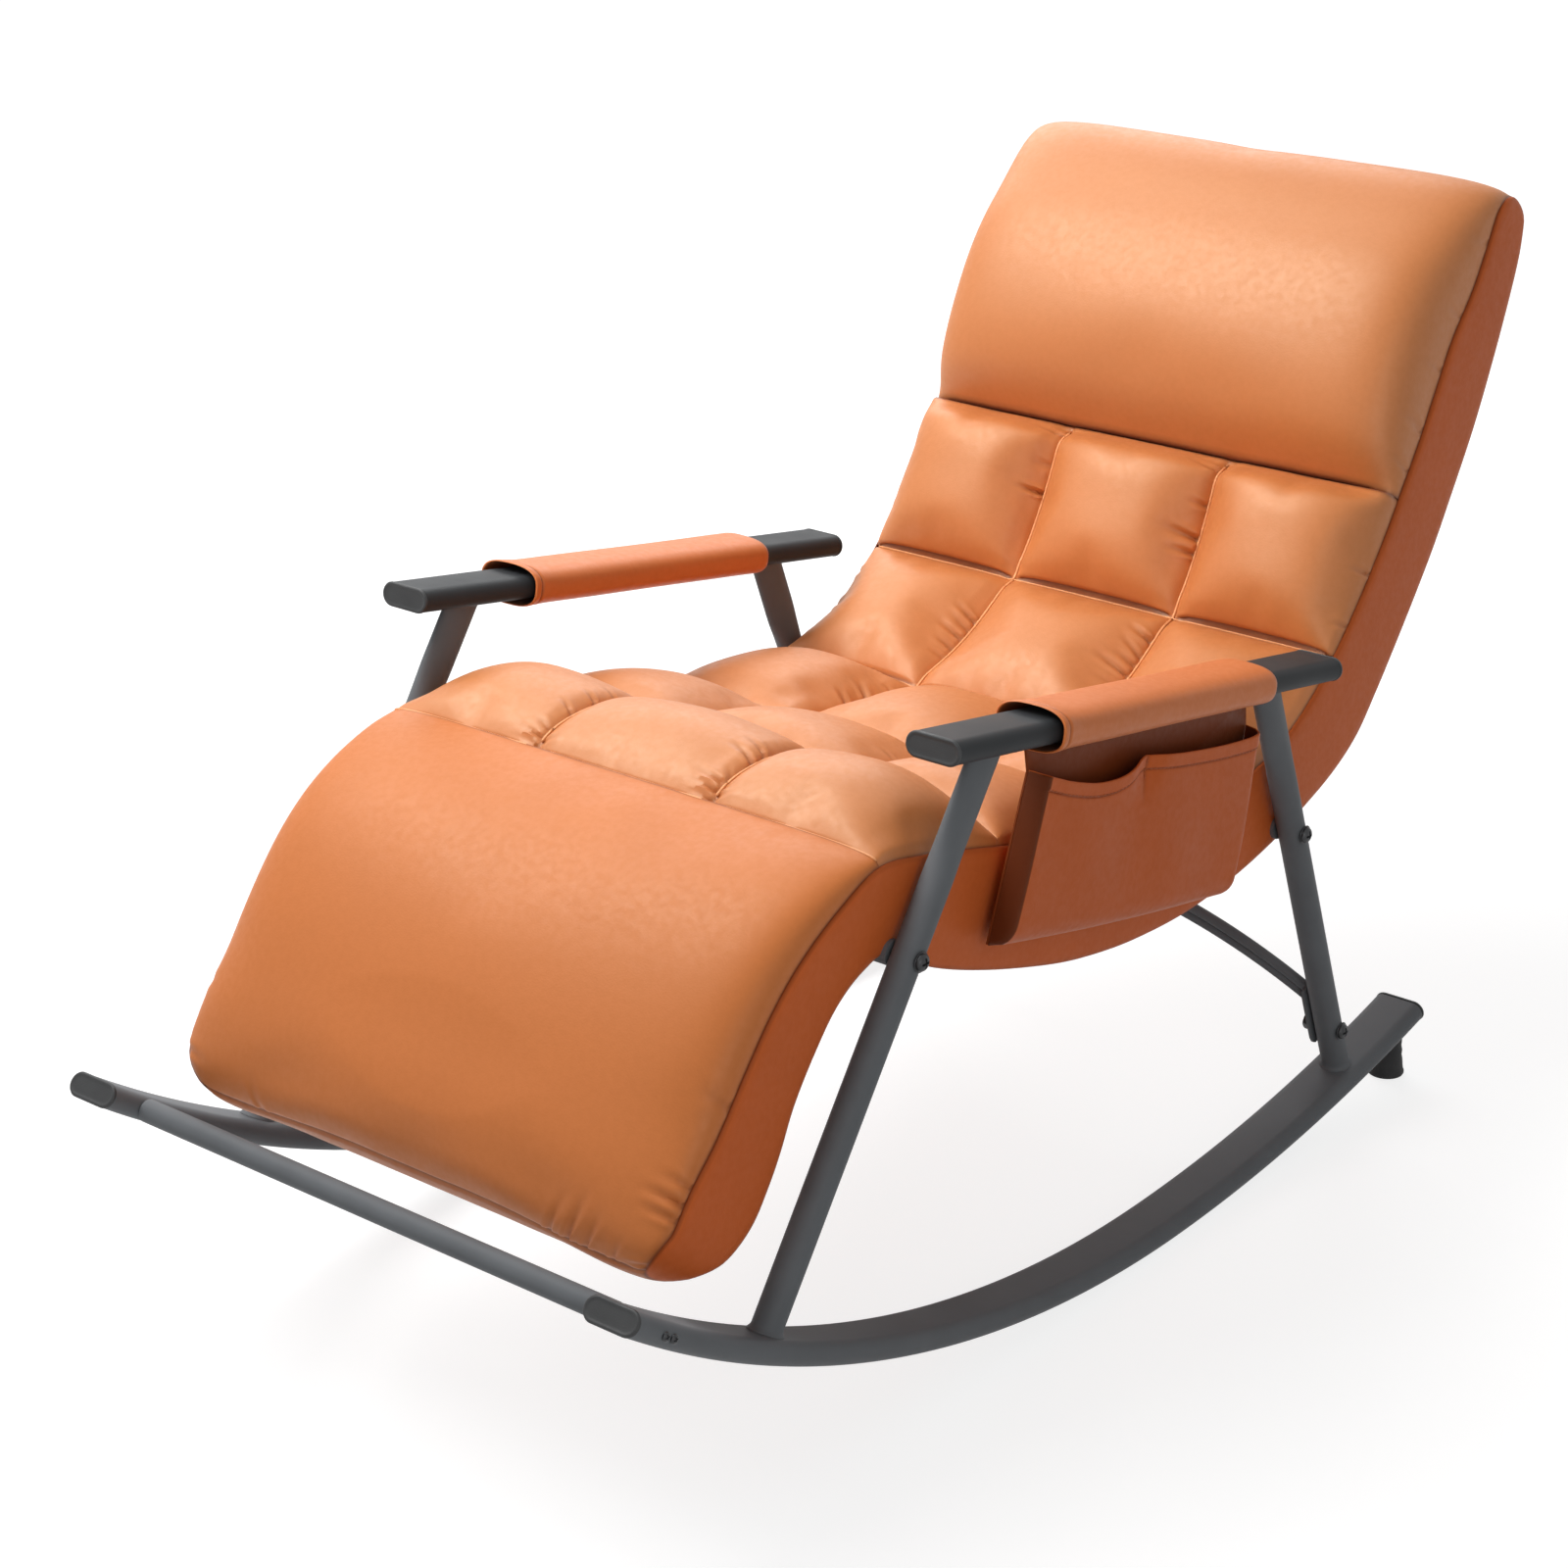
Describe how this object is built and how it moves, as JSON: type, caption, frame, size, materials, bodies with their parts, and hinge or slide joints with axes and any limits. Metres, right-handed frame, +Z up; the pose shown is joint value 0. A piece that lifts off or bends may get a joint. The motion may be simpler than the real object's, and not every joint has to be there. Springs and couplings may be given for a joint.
{
  "type": "rocking lounge chair",
  "caption": "Rocking lounge chair: a tufted leather body with head pillow and leg rest on a tubular steel frame with curved rockers, armrest sleeves and a side pocket.",
  "frame": {"origin": "on the floor, midway along the chair's length and midway between its sides, where the rear feet and the rocker strips rest at z = 0", "axes": "+Z up; the sitter faces -Y; +X is the sitter's left, the side with the pocket"},
  "size_m": [0.6328, 1.34, 0.8635],
  "materials": {
    "powder_coated_steel": "satin",
    "tube_cap": "matte",
    "rubber": "matte",
    "fastener": "satin",
    "leather": "satin",
    "padded_leather": "satin",
    "webbing": "matte"
  },
  "bodies": {
    "root": {"rocker_left": "powder_coated_steel", "rocker_right": "powder_coated_steel", "front_leg_left": "powder_coated_steel", "front_leg_right": "powder_coated_steel", "rear_leg_left": "powder_coated_steel", "rear_leg_right": "powder_coated_steel", "arm_tube_left": "powder_coated_steel", "arm_tube_right": "powder_coated_steel", "seat_rail_left": "powder_coated_steel", "seat_rail_right": "powder_coated_steel", "front_cross_tube": "powder_coated_steel", "rear_brace": "powder_coated_steel", "foot_tube": "powder_coated_steel", "head_tube": "powder_coated_steel", "seat_front_tube": "powder_coated_steel", "seat_rear_tube": "powder_coated_steel", "rocker_front_cap_left": "tube_cap", "rocker_front_cap_right": "tube_cap", "rocker_rear_cap_left": "tube_cap", "rocker_rear_cap_right": "tube_cap", "arm_front_cap_left": "tube_cap", "arm_front_cap_right": "tube_cap", "arm_rear_cap_left": "tube_cap", "arm_rear_cap_right": "tube_cap", "rocker_strip_left": "rubber", "rocker_strip_right": "rubber", "rear_foot_left": "rubber", "rear_foot_right": "rubber", "front_leg_bolt_left": "fastener", "front_leg_bolt_right": "fastener", "rear_leg_bolt_left": "fastener", "rear_leg_bolt_right": "fastener", "brace_bolt_left": "fastener", "brace_bolt_right": "fastener", "brace_nut_left": "fastener", "brace_nut_right": "fastener", "front_tube_screw_left_1": "fastener", "front_tube_screw_left_2": "fastener", "front_tube_screw_right_1": "fastener", "front_tube_screw_right_2": "fastener", "armrest_sleeve_left": "leather", "armrest_sleeve_right": "leather", "side_panel_left": "leather", "side_panel_right": "leather", "pocket_back_panel": "leather", "pocket_pouch": "leather", "calf_underside_cover": "leather", "seat_underside_cover": "leather", "calf_cushion": "padded_leather", "seat_cushion_front": "padded_leather", "seat_cushion_middle": "padded_leather", "seat_cushion_rear": "padded_leather", "lumbar_cushion": "padded_leather", "back_cushion": "padded_leather", "head_cushion": "padded_leather", "calf_strap": "webbing", "front_seat_strap": "webbing", "rear_seat_strap": "webbing", "lumbar_strap": "webbing", "back_strap": "webbing"}
  },
  "joints": []
}
